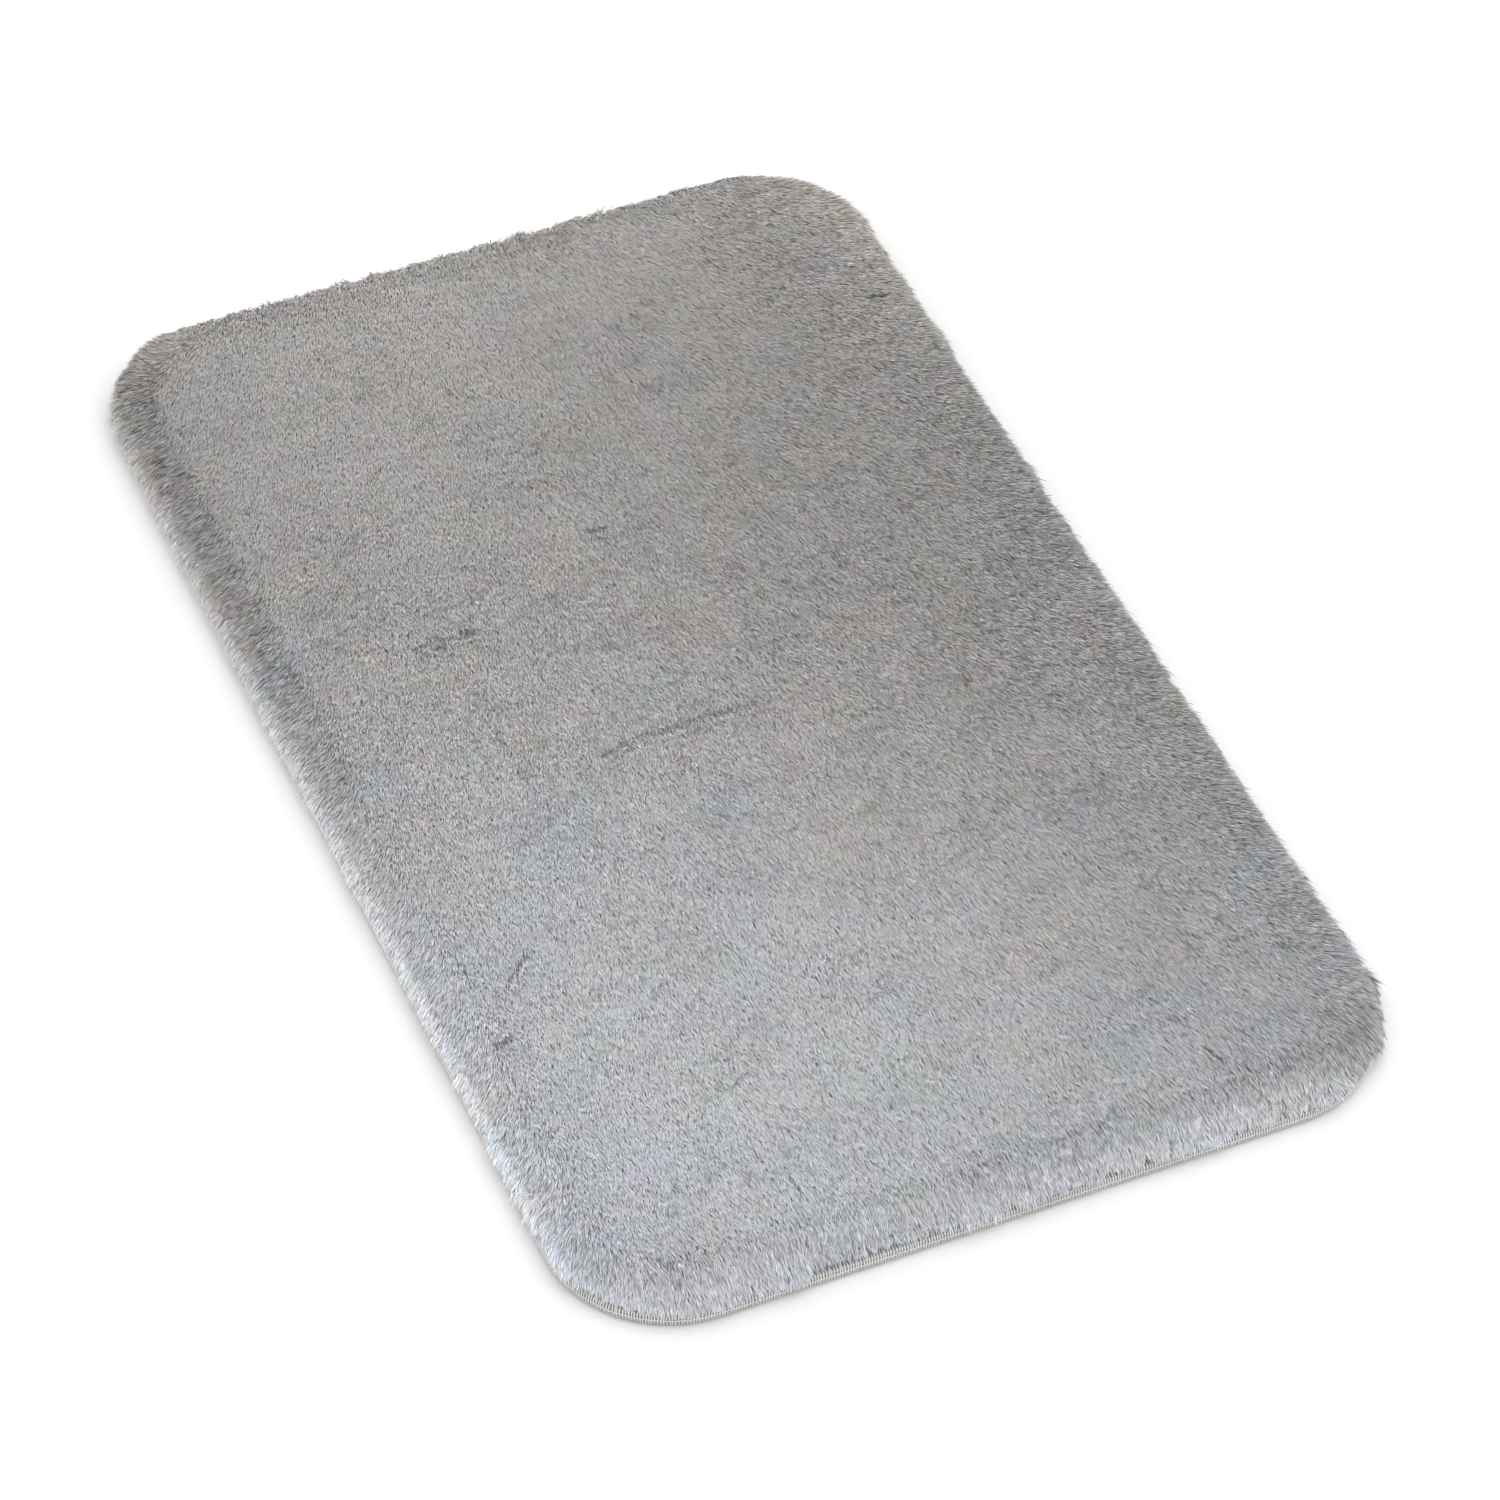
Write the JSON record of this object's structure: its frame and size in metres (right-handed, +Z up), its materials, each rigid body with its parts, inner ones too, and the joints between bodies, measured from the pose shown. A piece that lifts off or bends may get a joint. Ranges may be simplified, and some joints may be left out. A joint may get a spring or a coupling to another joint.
{
  "type": "bath mat",
  "caption": "Rectangular faux-fur bath mat with rounded corners, a foam core, an overlocked edge and a dotted non-slip backing.",
  "frame": {"origin": "Centre of the underside, on the floor plane that the dots of the grip coating stand on", "axes": "+X along the short side, +Y along the long side, +Z up out of the pile"},
  "size_m": [0.486, 0.812, 0.027],
  "materials": {
    "faux_fur": "short dense polyester faux fur, light grey",
    "ground_knit": "warp-knitted polyester ground, grey",
    "foam": "open-cell polyurethane foam, cream",
    "backing_weave": "plain woven polyester, light grey",
    "grip_rubber": "soft rubber coating, pale grey",
    "overlock_thread": "spun polyester sewing thread, light grey"
  },
  "bodies": {
    "root": {"fur_pile": "faux_fur", "ground_fabric": "ground_knit", "foam_core": "foam", "backing_cloth": "backing_weave", "grip_coating": "grip_rubber", "upper_looper_thread": "overlock_thread", "lower_looper_thread": "overlock_thread", "needle_thread": "overlock_thread"}
  },
  "joints": []
}
